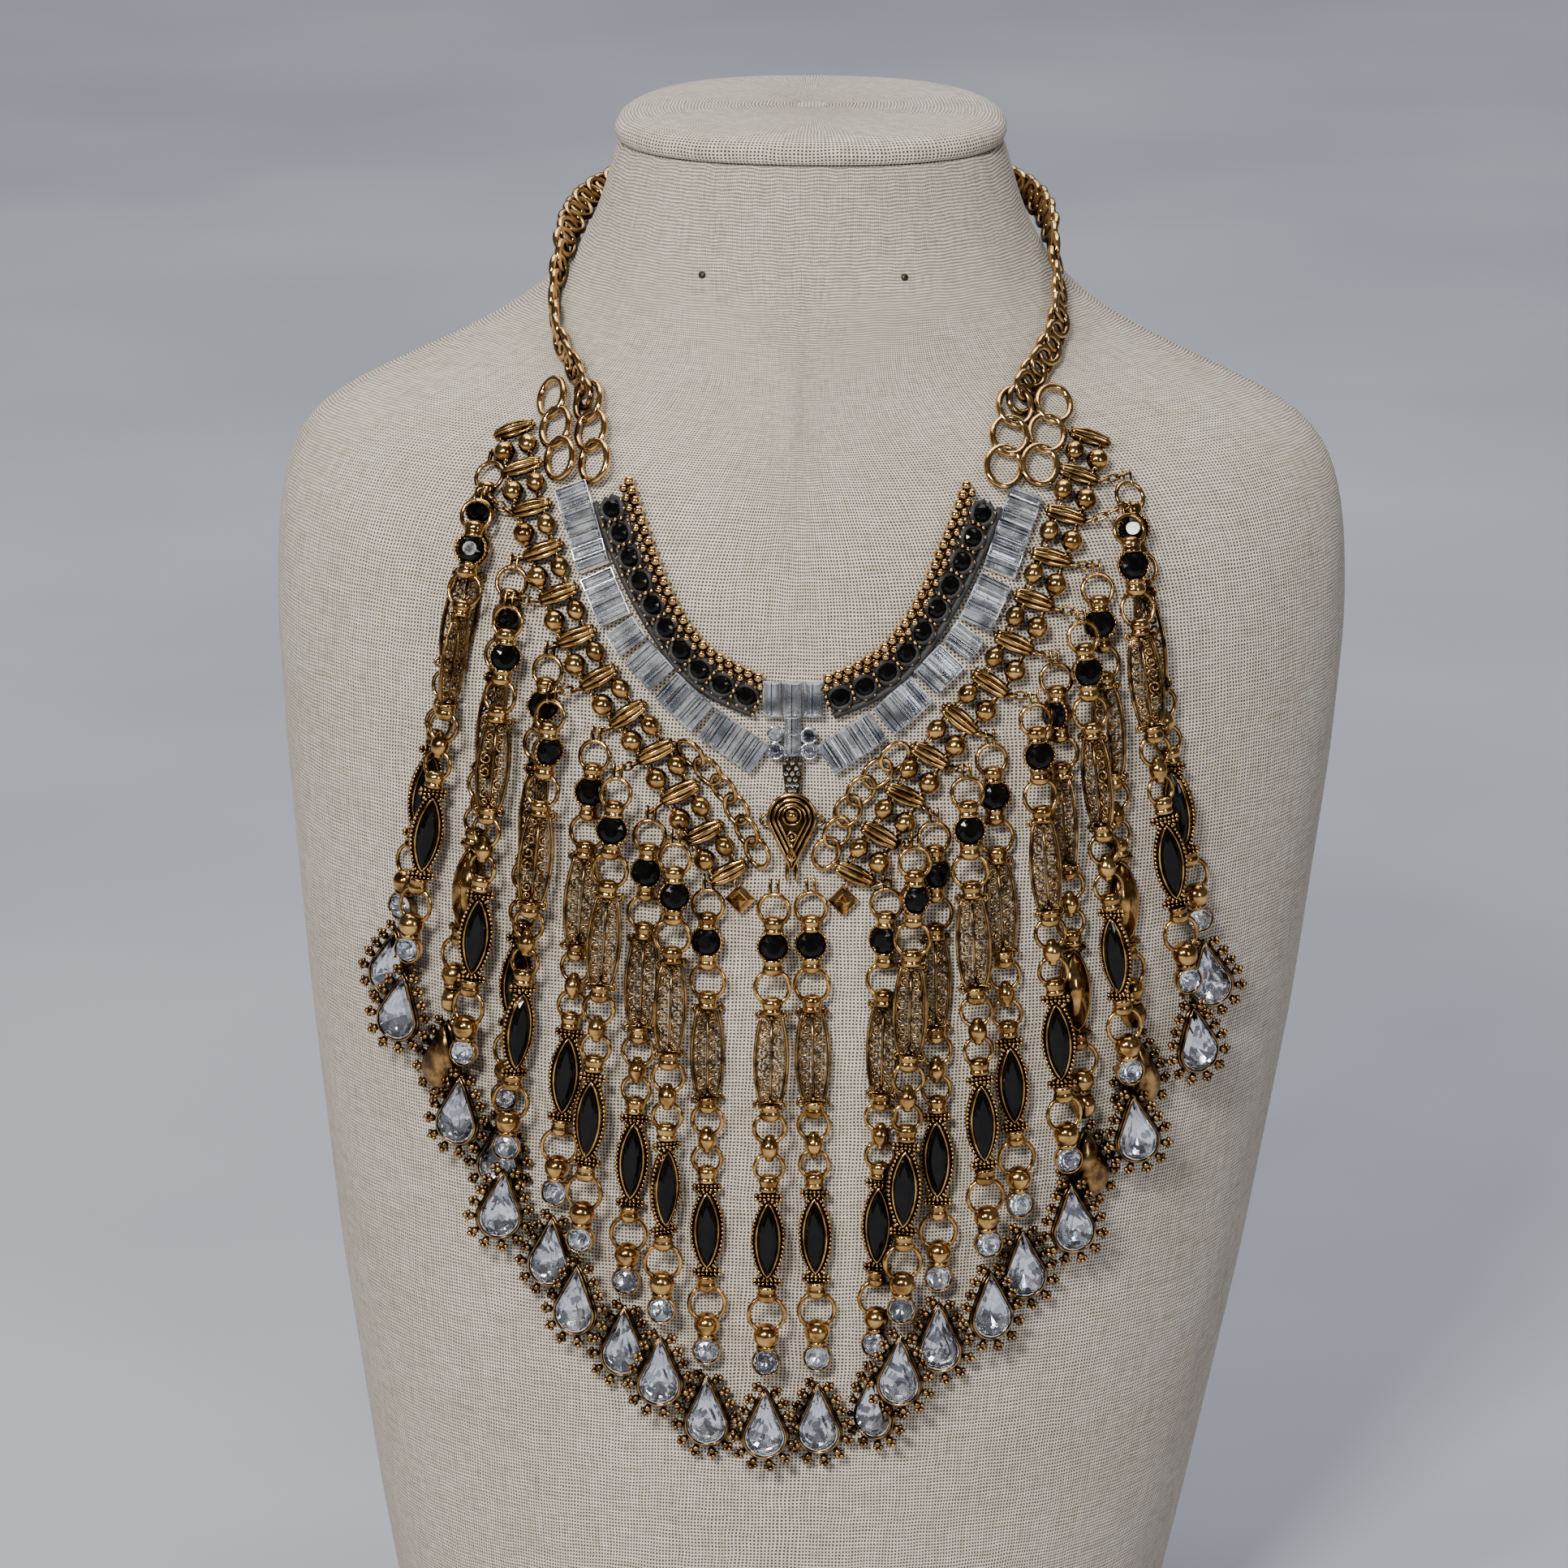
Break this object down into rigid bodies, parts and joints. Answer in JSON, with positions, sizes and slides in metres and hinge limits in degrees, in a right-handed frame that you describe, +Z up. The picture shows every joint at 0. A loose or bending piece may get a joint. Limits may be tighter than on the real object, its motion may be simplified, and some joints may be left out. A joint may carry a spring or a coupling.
{
  "type": "bib necklace on neck bust",
  "caption": "Jewelled bib necklace worn by a free-standing linen neck bust: a neck chain loop, a stone-set collar and a fringe of linked strands with crystal drops.",
  "frame": {"origin": "on the flat base of the bust, below the middle of the neck", "axes": "+Z up, -Y the way the bust faces, +X to the right as seen from the front"},
  "size_m": [0.214, 0.1348, 0.3238],
  "materials": {
    "linen": "plain woven linen",
    "bright_gold": "polished rose gold plate",
    "antique_gold": "antiqued gold plate, dark in its recesses",
    "black_stone": "opaque black faceted glass",
    "crystal": "foil-backed clear faceted glass"
  },
  "bodies": {
    "root": {"bust": "linen", "bust_cap": "linen", "clasp": "bright_gold", "crystal_cluster": "crystal", "pave_taper": "antique_gold", "medallion": "antique_gold", "neck_chain_left": "bright_gold", "curb_links_left_inner": "bright_gold", "curb_links_left_outer": "bright_gold", "edge_chain_left": "bright_gold", "stone_braid_left": "black_stone", "baguettes_left_1": "crystal", "baguettes_left_2": "crystal", "baguettes_left_3": "crystal", "baguettes_left_4": "crystal", "baguettes_left_5": "crystal", "baguettes_left_6": "crystal", "ladder_left": "antique_gold", "lace_chain_left": "antique_gold", "stud_left": "antique_gold", "strand_left_01": "antique_gold", "strand_left_02": "antique_gold", "strand_left_03": "antique_gold", "strand_left_04": "antique_gold", "strand_left_05": "antique_gold", "strand_left_06": "antique_gold", "strand_left_07": "antique_gold", "strand_left_08": "antique_gold", "strand_left_09": "antique_gold", "strand_left_10": "antique_gold", "strand_left_11": "antique_gold", "strand_left_12": "antique_gold", "neck_chain_right": "bright_gold", "curb_links_right_inner": "bright_gold", "curb_links_right_outer": "bright_gold", "edge_chain_right": "bright_gold", "stone_braid_right": "black_stone", "baguettes_right_1": "crystal", "baguettes_right_2": "crystal", "baguettes_right_3": "crystal", "baguettes_right_4": "crystal", "baguettes_right_5": "crystal", "baguettes_right_6": "crystal", "ladder_right": "antique_gold", "lace_chain_right": "antique_gold", "stud_right": "antique_gold", "strand_right_01": "antique_gold", "strand_right_02": "antique_gold", "strand_right_03": "antique_gold", "strand_right_04": "antique_gold", "strand_right_05": "antique_gold", "strand_right_06": "antique_gold", "strand_right_07": "antique_gold", "strand_right_08": "antique_gold", "strand_right_09": "antique_gold", "strand_right_10": "antique_gold", "strand_right_11": "antique_gold", "strand_right_12": "antique_gold"}
  },
  "joints": []
}
